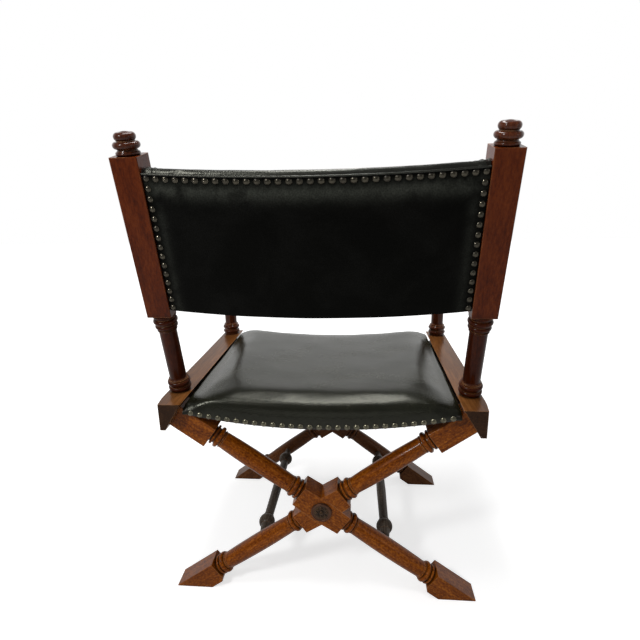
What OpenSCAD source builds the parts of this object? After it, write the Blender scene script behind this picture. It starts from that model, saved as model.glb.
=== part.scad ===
// Directors chair on two crossed leg frames, with a nailed leather seat and back.
// +Z is up, the sitter faces -Y, and the origin is on the floor under the middle of the chair.

/* [Seat rails] */
// Width over the outer faces of the two seat rails
rail_span = 590; // [570:5:610]
// Height of the rail tops above the floor
rail_top = 421.5; // [410:0.5:432]
// Length of a seat rail, front to back
rail_len = 472; // [460:2:490]
// Width of a rail's flat top
rail_w = 46; // [44.5:0.5:49]
// Height of a rail
rail_h = 51; // [48:0.5:56]
// Width of a rail's bottom edge
rail_foot_w = 15; // [13:0.5:17]
// Rounding of the outer rail edges
rail_round = 2; // [1:0.5:3]
// How much narrower a rail is at its rear end
rail_taper = 5; // [1:0.5:7]
// Length of the narrowing at a rail's rear end
rail_taper_len = 50; // [30:2:50]

/* [Leg frames] */
// Side of the square blocks on a leg
leg_side = 44; // [42.5:0.5:46]
// Rounding of the long edges of the leg blocks
leg_round = 1.5; // [0.5:0.5:3]
// Slope of the rear legs from the floor
rear_slope = 36; // [35:0.1:37]
// Slope of the front legs from the floor
front_slope = 37.1; // [36:0.1:38]
// Middle of the rear leg frame from the rear end of the rails
rear_frame_in = 44; // [36:1:60]
// Middle of the front leg frame from the front end of the rails
front_frame_in = 52; // [40:1:70]
// Depth of a leg's axis below the rail top where the two meet
joint_drop = 33; // [31:0.5:35]
// Half length of the block where two legs cross
cross_half = 53; // [50:1:60]
// Width of a leg in the middle of its crossing block
cross_w = 50; // [47:0.5:52]
// Length of the square block at the top of a leg, on its axis
top_block_len = 76; // [64:1:86]
// Length of the square foot block, on the leg's axis
foot_block_len = 63; // [54:1:68]
// Size of the bevel under a foot block's upper end
foot_bevel = 7; // [4:0.5:9]
// Largest radius of a leg's round shaft
shaft_r = 17.9; // [17.5:0.1:19]
// Radius at the ends of a leg's round shaft
shaft_end_r = 16.2; // [15.5:0.1:16.8]
// Length of the ring group at each end of a shaft
ring_len = 25; // [23:0.5:28]
// Radius of the larger ring
ring_big_r = 20.8; // [20:0.1:21.2]
// Radius of the smaller ring
ring_small_r = 19.8; // [19.2:0.1:20]
// Gap at each cheek of the half-lap
lap_gap = 0.1; // [0:0.05:0.3]
// Radius of the screw that pins a half-lap
lap_screw_r = 2.5; // [2:0.1:3]
// Radius of the bronze medallion on a crossing
medallion_r = 19.5; // [17:0.5:21]
// Thickness of the medallion's plate
medallion_t = 2.6; // [2:0.1:3.5]
// Radius of the dowels between legs and rails
leg_dowel_r = 4; // [3:0.25:5]
// Length of the dowels between legs and rails
leg_dowel_len = 40; // [34:1:44]

/* [Stretchers] */
// Distance of a stretcher from the crossing, along the leg
stretcher_down = 156; // [146:1:166]
// Radius of a stretcher's bar
stretcher_r = 10.75; // [10:0.25:11.5]
// Radius of the ball beads on a stretcher
ball_r = 17; // [15.5:0.25:18]
// Distance of a ball bead from the middle plane of the nearer leg frame
ball_in = 60; // [52:1:70]
// Radius of the tenons on a stretcher
tenon_r = 7; // [6:0.25:8]

/* [Back posts] */
// Rake of the back posts from upright
rake = 13.5; // [11:0.5:15]
// Distance of a back post's foot from the rear end of the rail
post_in = 72; // [66:1:90]
// Distance of the posts' axes from the outer faces of the rails
post_side = 21.5; // [21.5:0.25:23]
// Height of the square block's lower end, along the post
block_from = 168; // [164:1:174]
// Length of the square block
block_len = 264; // [256:1:272]
// Width of the square block, across the chair
block_w = 42.5; // [41.5:0.5:43]
// Depth of the square block, front to back
block_d = 44; // [42:0.5:46]
// Rounding of the block's long edges
block_round = 1.5; // [0.5:0.5:3]
// Radius of the post's round shaft
post_r = 15.5; // [14.5:0.25:16]
// Radius of the turned beads on posts
bead_r = 21.25; // [20.5:0.25:21.5]
// Radius of the round tenons at the post feet
post_tenon_r = 9; // [7:0.5:10]
// Height of the turned finial
finial_h = 33.5; // [32:0.5:37]
// Radius of the finial's widest bead
finial_r = 20; // [19.5:0.25:21]
// Radius of the finial's dowel
finial_dowel_r = 5; // [4:0.25:6]

/* [Arms] */
// Height of the arm tops above the floor
arm_top = 643.5; // [625:0.5:660]
// Thickness of an arm
arm_t = 24; // [20:0.5:28]
// Rounding of an arm's long edges
arm_round = 5; // [3:0.5:8]
// Distance of the arm post from the front end of the rail
arm_post_in = 27; // [23:1:40]
// Radius of the dowels at the arms
arm_dowel_r = 4; // [3:0.25:5]

/* [Seat] */
// Gap between the seat and the rails at each side
seat_gap = 3; // [2:0.5:5]
// Sag of the seat board in the middle
seat_dip = 25; // [18:1:30]
// Thickness of the bent seat board
seat_board_t = 8; // [7:0.5:9]
// Distance of the seat's rear face from the rear end of the rails
seat_rear_in = 6; // [4:1:12]
// Distance of the seat's front face from the front end of the rails
seat_front_in = 10; // [6:1:16]
// Height of the cushion's shoulders above the rail tops
seat_crest = 12; // [8:1:20]
// Height of the cushion's middle above the rail tops
seat_middle = 3; // [0:1:8]
// Drop of the cushion's middle from its rear edge to its front edge
seat_fall = 6; // [0:1:8]
// Width of the sloping strip at each side of the cushion, at the rear
seat_strip = 54; // [46:1:60]
// Width of the sloping strip at each side of the cushion, at the front
seat_strip_front = 18; // [16:1:40]
// Height of the cushion's side edges above the board
seat_edge_h = 6.5; // [4:0.5:8]
// Radius of the rolled front and rear edges
seat_roll = 22; // [16:1:24]
// Thickness of the leather
leather_t = 1.5; // [1.2:0.1:2]
// Clearance around soft pieces
soft_gap = 0.3; // [0.2:0.1:0.5]
// Width of the seat cleats
cleat_w = 24; // [18:1:30]

/* [Back] */
// Bow of the back panel to the rear in its middle
back_bow = 18; // [12:1:24]
// Height of the panel's lower edge, along the posts
panel_from = 181; // [177:1:186]
// Height of the panel, along the posts
panel_len = 232; // [225:1:236]
// Dip of the panel's edges in the middle
panel_dip = 5; // [2:0.5:7]
// Thickness of the bent back board
back_board_t = 12; // [11:0.5:14]
// Distance of the board's rear face behind the post axis
board_behind = 17; // [15:0.5:18]
// Thickness of the padded panel in the middle
pad_t = 34; // [30:1:40]
// Thickness of the padded panel at its side edges
pad_edge_t = 24; // [20:1:28]
// Height of the padded roll over the board's top edge
top_roll = 5; // [4.5:0.5:8]
// Radius of the welt
welt_r = 1.5; // [1.25:0.25:2]
// Radius of the dowels between the board and the posts
back_dowel_r = 4; // [3:0.25:4.5]

/* [Nails] */
// Radius of a nail's domed head
nail_r = 5; // [4:0.25:5.25]
// Height of a nail's domed head
nail_dome = 2.5; // [2:0.1:3]
// Radius of a nail's shank
nail_shank_r = 0.9; // [0.7:0.1:1.1]
// Length of a nail's shank below its head
nail_len = 11; // [8:1:12]
// Distance of the nail rows from the leather's edge
nail_edge = 5.25; // [5.25:0.25:7]
// Nails along the seat's rear edge, and along its front edge
seat_nails = 29; // [25:1:30]
// Nails along the top of the back
top_nails = 33; // [28:1:35]
// Nails down each side of the back
side_nails = 14; // [12:1:15]

/* [Hidden] */
$fn = 48;

// Places across the chair
far = 2000;
rail_out = rail_span / 2;
rail_in = rail_out - rail_w;
post_x = rail_out - post_side;
bevel_run = rail_w - rail_foot_w;
bevel_angle = atan(bevel_run / rail_h);
tenon_wall = 3;
post_tenon_len = (rail_w - post_side - post_tenon_r) * rail_h / bevel_run - tenon_wall;

// Places along the chair: the rail's rear end is chosen so that the whole chair is centred
welt_h = panel_from + panel_len - top_roll - panel_dip;
rear_reach = -post_in + sin(rake) * welt_h
    + cos(rake) * (board_behind + back_bow + leather_t / 2 + welt_r * 2);
rail_rear = (rail_len - rear_reach) / 2;
rail_front = rail_rear - rail_len;
post_y = rail_rear - post_in;
arm_post_y = rail_front + arm_post_in;
rear_y = rail_rear - rear_frame_in;
front_y = rail_front + front_frame_in;

// The point where a leg's axis meets the rail's bevel
joint_x = rail_in + joint_drop * bevel_run / rail_h;
joint_z = rail_top - joint_drop;

// The two slopes are those of a chair whose rails are drawn_shape times as wide as they are high.
// In a wider, narrower or lower one the toes keep their place inside the rails, and the legs lean to suit.
drawn_shape = 590 / 421.5;
drawn_span = drawn_shape * rail_top;
drawn_joint_x = joint_x + (drawn_span - rail_span) / 2;
function toe_in(slope) =
    drawn_span / 2 + drawn_joint_x - joint_z / tan(slope) - leg_side / 2 / sin(slope);
function lean(slope) =
    let (stance = rail_out - toe_in(slope) + joint_x,
         reach = sqrt(stance * stance + joint_z * joint_z))
    atan(joint_z / stance) + asin(leg_side / 2 / reach);
rear_lean = lean(rear_slope);
front_lean = lean(front_slope);

// The crossing of each leg frame
function cross_z(slope) = joint_z - joint_x * tan(slope);
function up_reach(slope) = joint_x / cos(slope);
function down_reach(slope) = cross_z(slope) / sin(slope);
function leg_top_z(slope, x) = cross_z(slope) + x * tan(slope) + leg_side / 2 / cos(slope);

// The seat board's arc, from the room that the legs leave at its side edges
seat_half = rail_in - seat_gap;
leg_clear = 1.3;
seat_edge_z = max(leg_top_z(rear_lean, seat_half), leg_top_z(front_lean, seat_half)) + leg_clear;
seat_arc_r = (seat_half * seat_half + seat_dip * seat_dip) / (2 * seat_dip);
seat_low = seat_edge_z - seat_dip;
function seat_arc(x) = seat_low + seat_arc_r - sqrt(seat_arc_r * seat_arc_r - x * x);
seat_rear = rail_rear - seat_rear_in;
seat_front = rail_front + seat_front_in;
seat_mid = (seat_rear + seat_front) / 2;
board_half = seat_half - leather_t - soft_gap;

// The back panel's arc, in the raked frame: x across, y to the rear, z along the posts
panel_half = post_x - block_w / 2 - 0.5;
back_arc_r = (panel_half * panel_half + back_bow * back_bow) / (2 * back_bow);
back_axis_y = board_behind + back_bow - back_arc_r;
dip_r = (panel_half * panel_half + panel_dip * panel_dip) / (2 * panel_dip);
function dip_at(x) = panel_dip - dip_r + sqrt(dip_r * dip_r - x * x);
function bow_y(x) = back_axis_y + sqrt(back_arc_r * back_arc_r - x * x);
board_top = panel_from + panel_len - top_roll;
outer_face = back_arc_r + leather_t;

// Short dowels, screws and bores
dowel_gap = 0.05;
bore_extra = 1;
arm_dowel_len = 32;
back_dowel_len = 36;
finial_dowel_len = 24;

module both_sides() {
    children();
    mirror([1, 0, 0]) children();
}

// A square prism with rounded long edges, standing on the XY plane
module rounded_bar(wx, wy, len, r) {
    linear_extrude(len) rounded_square(wx, wy, r);
}

module rounded_square(wx, wy, r) {
    square([wx - 2 * r, wy], center = true);
    square([wx, wy - 2 * r], center = true);
    for (sx = [-1, 1], sy = [-1, 1])
        translate([sx * (wx / 2 - r), sy * (wy / 2 - r)]) circle(r);
}

// A turned bead of width w and outer radius r, centred at height z
module bead(z, w, r) {
    translate([0, 0, z]) rotate_extrude() {
        translate([r - w / 2, 0]) circle(d = w);
        translate([0, -w / 2]) square([r - w / 2, w]);
    }
}

// A round shaft between two heights that swells from r_end to r_mid
module barrel(z0, z1, r_end, r_mid) {
    half = (z1 - z0) / 2;
    rise = r_mid - r_end;
    big = (half * half + rise * rise) / (2 * rise);
    translate([0, 0, (z0 + z1) / 2]) rotate_extrude() intersection() {
        translate([0, -half]) square([r_mid, 2 * half]);
        translate([r_mid - big, 0]) circle(big, $fn = 400);
    }
}

// The rings between a square block and a shaft, rising from height z
ring_step = 0.8;
module ring_group(z, dir) {
    translate([0, 0, z]) mirror([0, 0, dir < 0 ? 1 : 0]) {
        translate([0, 0, -3]) cylinder(r = shaft_end_r - ring_step, h = ring_len + 6);
        bead(ring_len * 0.2, 5, ring_small_r);
        bead(ring_len * 0.6, 8.5, ring_big_r);
        bead(ring_len * 0.9, 3, shaft_end_r + 1);
    }
}

// The crossing block between two depths, a little wider in its middle; grow widens it
module cross_block(from, to, grow) {
    end = leg_side / 2 + grow;
    mid = cross_w / 2 + grow;
    translate([0, to, 0]) rotate([90, 0, 0]) linear_extrude(to - from)
        polygon([[-end, -cross_half], [end, -cross_half], [mid, 0],
                 [end, cross_half], [-end, cross_half], [-mid, 0]]);
}

// Everything that makes one straight leg, on its own axis, before its ends are trimmed
module leg_blank(slope) {
    up = up_reach(slope);
    down = down_reach(slope);
    top_from = up - top_block_len;
    foot_from = -(down - foot_block_len);
    shaft_from = cross_half + ring_len;
    cross_block(-leg_side / 2, leg_side / 2, 0);
    translate([0, 0, top_from]) rounded_bar(leg_side, leg_side, top_block_len + leg_side, leg_round);
    translate([0, 0, foot_from - foot_block_len - leg_side])
        rounded_bar(leg_side, leg_side, foot_block_len + leg_side, leg_round);
    ring_group(cross_half, 1);
    ring_group(top_from, -1);
    ring_group(-cross_half, -1);
    ring_group(foot_from, 1);
    barrel(shaft_from, top_from - ring_len, shaft_end_r, shaft_r);
    barrel(foot_from + ring_len, -shaft_from, shaft_end_r, shaft_r);
}

// Turns a leg's own axis so that its top goes to side s
module on_leg(s, slope, y) {
    translate([0, y, cross_z(slope)]) rotate([0, s * (90 - slope), 0]) children();
}

module below_floor() {
    translate([-far / 2, -far / 2, -far]) cube([far, far, far]);
}

// All that lies beyond the bevelled inner face of the rail on side s
module beyond_bevel(s) {
    translate([s * rail_in, 0, rail_top]) rotate([0, -s * bevel_angle, 0])
        translate([s > 0 ? 0 : -far, -far / 2, -far / 2]) cube([far, far, far]);
}

// Dowels across the joint of the leg frame at y, on side s
module frame_dowels(s, slope, y, r, len) {
    on_leg(s, slope, y)
        for (dy = [-1, 1])
            translate([0, dy * leg_side / 5, up_reach(slope) - len / 2 - 1]) cylinder(r = r, h = len);
}

// A leg whose top goes to side s; face is the side of its frame that carries the medallion,
// and outer says whether this leg keeps the half that is nearer to the medallion
module leg(s, slope, y, face, outer) {
    keep = outer ? face : -face;
    difference() {
        on_leg(s, slope, y) leg_blank(slope);
        below_floor();
        beyond_bevel(s);
        on_leg(-s, slope, y) cross_block(keep > 0 ? -leg_side : 0, keep > 0 ? 0 : leg_side, lap_gap);
        on_leg(s, slope, y) translate([s * leg_side / 2, 0, foot_block_len - down_reach(slope)])
            rotate([0, 45, 0]) cube([foot_bevel * sqrt(2), 2 * leg_side, foot_bevel * sqrt(2)], center = true);
        frame_dowels(s, slope, y, leg_dowel_r + dowel_gap, leg_dowel_len + bore_extra);
        stretcher_tenon(-s, slope, y, face);
        lap_bore(slope, y, face);
    }
}

// The screw hole through a crossing, opened out under the medallion
module lap_bore(slope, y, face) {
    translate([0, y + face * leg_side / 2, cross_z(slope)]) rotate([face * 90, 0, 0]) {
        translate([0, 0, -1]) cylinder(r = lap_screw_r + dowel_gap, h = lap_screw_len + lap_head_from + 2);
        translate([0, 0, -1]) cylinder(r = lap_head_r + dowel_gap, h = lap_head_from + lap_head_t + 1);
    }
}
lap_head_r = 4.6;
lap_head_t = 3;
lap_head_from = 3;
lap_screw_len = 34;

module lap_screw(slope, y, face) {
    color("silver")
    translate([0, y + face * leg_side / 2, cross_z(slope)]) rotate([face * 90, 0, 0])
        translate([0, 0, lap_head_from]) {
            cylinder(r = lap_head_r, h = lap_head_t);
            cylinder(r = lap_screw_r, h = lap_screw_len);
        }
}

// Bronze medallion with a rim and a rosette of petals round a boss
module medallion(slope, y, face) {
    petals = 8;
    petal_ring = medallion_r * 0.5;
    petal_r = medallion_r * 0.17;
    color("#4a3a2c")
    translate([0, y + face * leg_side / 2, cross_z(slope)]) rotate([-face * 90, 0, 0]) {
        cylinder(r = medallion_r, h = medallion_t);
        translate([0, 0, -lap_head_from + 0.2]) cylinder(r = lap_head_r - 0.2, h = lap_head_from);
        translate([0, 0, medallion_t]) rotate_extrude() translate([medallion_r - 1.6, 0]) circle(1.4);
        for (i = [0 : petals - 1])
            rotate([0, 0, i * 360 / petals])
                translate([petal_ring, 0, medallion_t - 0.3]) dome(petal_r, petal_r * 0.7);
        translate([0, 0, medallion_t - 0.3]) dome(medallion_r * 0.24, medallion_r * 0.2);
    }
}

// A shallow dome standing on the XY plane
module dome(r, h) {
    big = (r * r + h * h) / (2 * h);
    intersection() {
        translate([0, 0, h - big]) sphere(big);
        cylinder(r = r + 1, h = h + 1);
    }
}

// Where a stretcher's axis meets a leg frame, on side s
function stretcher_x(slope) = stretcher_down * cos(slope);
function stretcher_z(slope) = cross_z(slope) - stretcher_down * sin(slope);
stretcher_run = rear_y - front_y;
stretcher_rise = stretcher_z(rear_lean) - stretcher_z(front_lean);
stretcher_in = stretcher_x(rear_lean) - stretcher_x(front_lean);
stretcher_len = sqrt(stretcher_run * stretcher_run + stretcher_rise * stretcher_rise
    + stretcher_in * stretcher_in);
stretcher_pitch = atan(stretcher_rise / stretcher_run);
stretcher_yaw = atan(stretcher_in / stretcher_run);
tenon_in = 8;

// Turns +Z onto the stretcher's axis on side s, from the front leg's axis to the rear leg's
module on_stretcher(s) {
    translate([s * stretcher_x(front_lean), front_y, stretcher_z(front_lean)])
        rotate([0, 0, -s * stretcher_yaw]) rotate([stretcher_pitch, 0, 0]) rotate([-90, 0, 0]) children();
}

// The tenon and its bore, which ends inside the leg
module stretcher_tenon(s, slope, y, face) {
    from = face > 0 ? stretcher_len - leg_side : -tenon_in - bore_extra / 2;
    on_stretcher(s)
        translate([0, 0, from]) cylinder(r = tenon_r + dowel_gap, h = leg_side + tenon_in + bore_extra / 2);
}

module stretcher(s) {
    shoulder = shaft_r - 1;
    color("#4a4038")
    on_stretcher(s) {
        translate([0, 0, -tenon_in]) cylinder(r = tenon_r, h = stretcher_len + 2 * tenon_in);
        for (end = [0, 1])
            translate([0, 0, end * stretcher_len]) mirror([0, 0, end]) {
                translate([0, 0, shoulder + 2])
                    cylinder(r1 = tenon_r, r2 = stretcher_r, h = ball_in - ball_r * 0.7 - shoulder - 2);
                translate([0, 0, ball_in]) sphere(ball_r);
                bead(ball_in + ball_r * 0.95, 4, stretcher_r + 1);
            }
        translate([0, 0, ball_in])
            cylinder(r1 = stretcher_r - 1.5, r2 = stretcher_r, h = stretcher_len / 2 - ball_in);
        translate([0, 0, stretcher_len / 2 - 0.01])
            cylinder(r1 = stretcher_r, r2 = stretcher_r - 1.5, h = stretcher_len / 2 - ball_in);
    }
}

// The cross section of a rail on the +X side
module rail_section() {
    low = rail_top - rail_h;
    intersection() {
        polygon([[rail_in, rail_top], [rail_out, rail_top], [rail_out, low], [rail_out - rail_foot_w, low]]);
        translate([rail_in, rail_top - rail_h / 2]) rounded_square(2 * rail_w, rail_h, rail_round);
    }
}

module rail_solid() {
    from = rail_rear - rail_taper_len;
    intersection() {
        translate([0, rail_rear, 0]) rotate([90, 0, 0]) linear_extrude(rail_len) rail_section();
        translate([0, 0, rail_top - rail_h - 1]) linear_extrude(rail_h + 2)
            polygon([[0, rail_front - 1], [rail_out + 1, rail_front - 1], [rail_out + 1, from],
                     [rail_out, from], [rail_out - rail_taper * 0.35, rail_rear - rail_taper_len / 2],
                     [rail_out - rail_taper, rail_rear], [rail_out - rail_taper, rail_rear + 1],
                     [0, rail_rear + 1]]);
    }
}

module seat_rail() {
    color("#5a2a17")
    difference() {
        rail_solid();
        frame_dowels(1, rear_lean, rear_y, leg_dowel_r + dowel_gap, leg_dowel_len + bore_extra);
        frame_dowels(1, front_lean, front_y, leg_dowel_r + dowel_gap, leg_dowel_len + bore_extra);
        at_back_post() translate([0, 0, -post_tenon_len - bore_extra])
            cylinder(r = post_tenon_r + dowel_gap, h = post_tenon_len + 20);
        at_arm_post() translate([0, 0, -post_tenon_len - bore_extra])
            cylinder(r = post_tenon_r + dowel_gap, h = post_tenon_len + 20);
        cleat_screw_set(dowel_gap);
    }
}

// The raked frame of the back: origin level with the rail tops, z along the posts, y to the rear
module back_frame() {
    translate([0, post_y, rail_top]) rotate([-rake, 0, 0]) children();
}

module at_back_post() {
    back_frame() translate([post_x, 0, 0]) children();
}

module at_arm_post() {
    translate([post_x, arm_post_y, rail_top]) children();
}

module above_rail() {
    translate([-far / 2, -far / 2, rail_top]) cube([far, far, far]);
}

// The two beads and the flare at the foot of a post
module post_foot(shaft, below) {
    translate([0, 0, -below]) cylinder(r = bead_r - 3, h = below + 28);
    bead(9, 9, bead_r);
    bead(20.5, 10, bead_r);
    bead(28, 3.5, shaft + 2);
    translate([0, 0, 29]) cylinder(r1 = shaft + 1, r2 = shaft - 1, h = 7);
}

module back_post() {
    color("#5a2212")
    difference() {
        at_back_post() union() {
            intersection() {
                post_foot(post_r, bead_r * tan(rake));
                rotate([rake, 0, 0]) translate([-far / 2, -far / 2, 0]) cube([far, far, far]);
            }
            translate([0, 0, -post_tenon_len]) cylinder(r = post_tenon_r, h = post_tenon_len + 20);
            translate([0, 0, 30]) cylinder(r = post_r, h = block_from - 30);
            bead(block_from - 33, 3.5, post_r + 2);
            bead(block_from - 25.5, 8, bead_r - 1.5);
            bead(block_from - 15, 9.5, bead_r);
            translate([0, 0, block_from - 26]) cylinder(r = bead_r - 4, h = 26);
            bead(block_from - 4, 6, bead_r - 0.5);
            translate([0, 0, block_from]) rounded_bar(block_w, block_d, block_len, block_round);
        }
        at_back_post() translate([0, 0, block_from + block_len - finial_dowel_len / 2 - bore_extra])
            cylinder(r = finial_dowel_r + dowel_gap, h = finial_dowel_len);
        back_dowel_set(dowel_gap);
        rear_arm_dowel(dowel_gap);
    }
}

module finial() {
    color("#4a1c10")
    at_back_post() translate([0, 0, block_from + block_len]) difference() {
        union() {
            cylinder(r = finial_r - 6.5, h = finial_h - 5);
            bead(3, 6, finial_r - 2);
            translate([0, 0, 5]) cylinder(r1 = finial_r - 4, r2 = finial_r - 6, h = 4);
            bead(14.3, 10.5, finial_r);
            bead(finial_h - 7.5, 12.5, finial_r - 4);
            translate([0, 0, finial_h - 3]) dome(finial_r - 8.5, 3);
        }
        translate([0, 0, -1]) cylinder(r = finial_dowel_r + dowel_gap, h = finial_dowel_len / 2 + 1 + bore_extra);
    }
}

module arm_post() {
    tall = arm_top - arm_t - rail_top;
    color("#5a2212")
    at_arm_post() {
        post_foot(post_r - 0.5, 0);
        translate([0, 0, -post_tenon_len]) cylinder(r = post_tenon_r, h = post_tenon_len + 20);
        translate([0, 0, 30]) cylinder(r = post_r - 0.5, h = tall - 30);
        bead(tall - 30, 3.5, post_r + 2);
        bead(tall - 22.5, 8, bead_r - 1.5);
        bead(tall - 12, 9.5, bead_r);
        translate([0, 0, tall - 23]) cylinder(r = bead_r - 4, h = 23);
        translate([0, 0, tall - 3]) cylinder(r = post_tenon_r, h = arm_t - 3);
    }
}

module arm() {
    reach = arm_post_y - rail_front;
    color("#5a2212")
    difference() {
        intersection() {
            translate([post_x, rail_front, 0]) linear_extrude(far) {
                translate([0, block_w / 2]) circle(block_w / 2);
                translate([-block_w / 2, block_w / 2]) square([block_w, far]);
            }
            translate([post_x, rail_front - 1, arm_top - arm_t / 2]) rotate([-90, 0, 0])
                linear_extrude(far / 2) rounded_square(block_w, arm_t, arm_round);
        }
        at_back_post() translate([-far / 2, -block_d / 2, -far / 2]) cube([far, far, far]);
        at_arm_post() translate([0, 0, arm_top - arm_t - rail_top - 1])
            cylinder(r = post_tenon_r + dowel_gap, h = arm_t - 6 + 1 + bore_extra);
        rear_arm_dowel(dowel_gap);
    }
}

// The dowel from the block's front face into the arm's rear end
module rear_arm_dowel(gap) {
    z = (arm_top - arm_t / 2 - rail_top) / cos(rake) - tan(rake) * block_d / 2;
    at_back_post() translate([0, -block_d / 2, z]) rotate([90, 0, 0])
        translate([0, 0, -arm_dowel_len / 2 - gap * 10])
            cylinder(r = arm_dowel_r + gap, h = arm_dowel_len + gap * 20);
}

// A slice of the ring between two radii of the seat board's arc
module seat_ring(t) {
    translate([0, seat_low + seat_arc_r]) difference() {
        circle(seat_arc_r, $fn = 720);
        circle(seat_arc_r - t, $fn = 720);
    }
}

module seat_board() {
    color("#b58f5e")
    difference() {
        translate([0, seat_rear - leather_t, 0]) rotate([90, 0, 0])
            linear_extrude(seat_rear - seat_front - 2 * leather_t) intersection() {
                seat_ring(seat_board_t);
                translate([-board_half, seat_low - 1]) square([2 * board_half, seat_dip + seat_board_t + 10]);
            }
        both_sides() seat_screw_set(dowel_gap);
        seat_nail_row(1, 0, false);
        seat_nail_row(-1, 0, false);
    }
}

// The wooden cleat on a rail's bevel, between the two leg frames
cleat_from = front_y + leg_side / 2 + 4;
cleat_to = rear_y - leg_side / 2 - 4;
cleat_low = joint_z - 9;
cleat_in = seat_half - cleat_w;
cleat_screw_in = 40;
seat_screw_in = 70;
function bevel_x(z) = rail_in + (rail_top - z) * bevel_run / rail_h;

module seat_cleat() {
    color("#a9834f")
    difference() {
        translate([0, cleat_to, 0]) rotate([90, 0, 0]) linear_extrude(cleat_to - cleat_from) difference() {
            polygon([[cleat_in, cleat_low], [bevel_x(cleat_low), cleat_low],
                     [bevel_x(seat_edge_z + 1), seat_edge_z + 1], [cleat_in, seat_edge_z + 1]]);
            translate([0, seat_low + seat_arc_r]) circle(seat_arc_r, $fn = 720);
        }
        cleat_screw_set(dowel_gap);
        seat_screw_set(dowel_gap);
    }
}

// Screws through a cleat into the rail
module cleat_screw_set(gap) {
    for (y = [cleat_from + cleat_screw_in, (cleat_from + cleat_to) / 2, cleat_to - cleat_screw_in])
        translate([cleat_in - gap * 10, y, cleat_low + 8]) rotate([0, 90, 0]) {
            cylinder(r = 2 + gap, h = rail_out - cleat_in - 8 + gap * 20);
            cylinder(r = 4 + gap, h = 3 + gap * 10);
        }
}

// Screws up through a cleat into the seat board
module seat_screw_set(gap) {
    x = cleat_in + 11;
    for (y = [cleat_from + seat_screw_in, cleat_to - seat_screw_in])
        translate([x, y, cleat_low - gap * 10]) {
            cylinder(r = 2 + gap, h = seat_arc(x) + seat_board_t * 0.7 - cleat_low + gap * 10);
            cylinder(r = 4 + gap, h = 3 + gap * 10);
        }
}

// Height of the cushion's top at x and y, for a surface lying in by inset
function cushion_top(x, y, inset) =
    let (v = (seat_rear - y) / (seat_rear - seat_front),
         strip = seat_strip + (seat_strip_front - seat_strip) * v,
         shoulder = seat_half - strip,
         edge = seat_arc(seat_half) + seat_board_t + seat_edge_h,
         crest = rail_top + seat_crest,
         middle = rail_top + seat_middle - seat_fall * v,
         a = min(abs(x), seat_half),
         t = max(0, (a - shoulder) / strip),
         inner = middle + (crest - middle) * pow(min(a, shoulder) / shoulder, 2))
    edge + (inner - edge) * (0.5 + 0.5 * cos(180 * t)) - inset;

// One cross section of the cushion at x: up the rear face, over the top and down the front
cushion_steps = 5;
cushion_flats = 8;
function cushion_roll(x, y, inset) =
    max(min(seat_roll, (cushion_top(x, y, 0) - seat_arc(x) - seat_board_t) * 0.9) - inset, 0.2);
function cushion_ring(x, inset, low) =
    let (back = seat_rear - inset,
         front = seat_front + inset,
         top_b = cushion_top(x, seat_rear, inset),
         top_f = cushion_top(x, seat_front, inset),
         roll_b = cushion_roll(x, seat_rear, inset),
         roll_f = cushion_roll(x, seat_front, inset),
         run = back - front - roll_b - roll_f)
    concat([[x, back, low]],
           [for (i = [0 : cushion_steps]) let (a = i * 90 / cushion_steps)
               [x, back - roll_b + roll_b * cos(a), top_b - roll_b + roll_b * sin(a)]],
           [for (i = [1 : cushion_flats - 1]) let (y = back - roll_b - i * run / cushion_flats)
               [x, y, cushion_top(x, y, inset)]],
           [for (i = [0 : cushion_steps]) let (a = 90 + i * 90 / cushion_steps)
               [x, front + roll_f + roll_f * cos(a), top_f - roll_f + roll_f * sin(a)]],
           [[x, front, low]]);

// Places of the cross sections, closer together near the sides; inset only moves the outermost
seat_parts = [0, 0.06, 0.13, 0.22, 0.34, 0.5, 0.72];
pad_parts = [0, 0.2, 0.4, 0.6, 0.8];
function spread(half, edge, inset, parts) =
    let (n = len(parts) - 1)
    concat([for (i = [0 : n]) max(inset - half, edge * parts[i] - half)],
           [for (i = [0 : 8]) -half + edge + i * 2 * (half - edge) / 8],
           [for (i = [n : -1 : 0]) min(half - inset, half - edge * parts[i])]);

// Joins rings of points, all of one length, into a closed solid
module skin(rings) {
    n = len(rings[0]);
    m = len(rings);
    points = [for (ring = rings) for (p = ring) p];
    walls = [for (j = [0 : m - 2]) for (i = [0 : n - 1]) let (k = (i + 1) % n)
        each [[j * n + i, (j + 1) * n + i, (j + 1) * n + k], [j * n + i, (j + 1) * n + k, j * n + k]]];
    first = [for (i = [1 : n - 2]) [0, i, i + 1]];
    last = [for (i = [1 : n - 2]) [(m - 1) * n, (m - 1) * n + i + 1, (m - 1) * n + i]];
    polyhedron(points = points, faces = concat(walls, first, last));
}

module cushion(inset, under) {
    skin([for (x = spread(seat_half, seat_strip, inset, seat_parts)) cushion_ring(x, inset, seat_arc(x) + under)]);
}

module seat_foam() {
    color("#d8c78a") cushion(leather_t + soft_gap, seat_board_t + soft_gap);
}

module seat_cover() {
    color("#15171a")
    difference() {
        cushion(0, 0);
        cushion(leather_t, -10);
        seat_nail_row(1, 0, false);
        seat_nail_row(-1, 0, false);
    }
}

// A domed nail standing on the XY plane, its shank below
module nail(head) {
    if (head) dome(nail_r, nail_dome);
    translate([0, 0, -nail_len]) cylinder(r = nail_shank_r, h = nail_len + 0.2);
}

// Nails on the seat's rear face, dir 1, or front face, dir -1
module seat_nail_row(dir, gap, head) {
    half = seat_half - 13;
    face = dir > 0 ? seat_rear : seat_front;
    for (i = [0 : seat_nails - 1]) {
        x = -half + i * 2 * half / (seat_nails - 1);
        translate([x, face, seat_arc(x) + nail_edge]) rotate([-dir * 90, 0, 0]) nail(head);
    }
}

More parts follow.
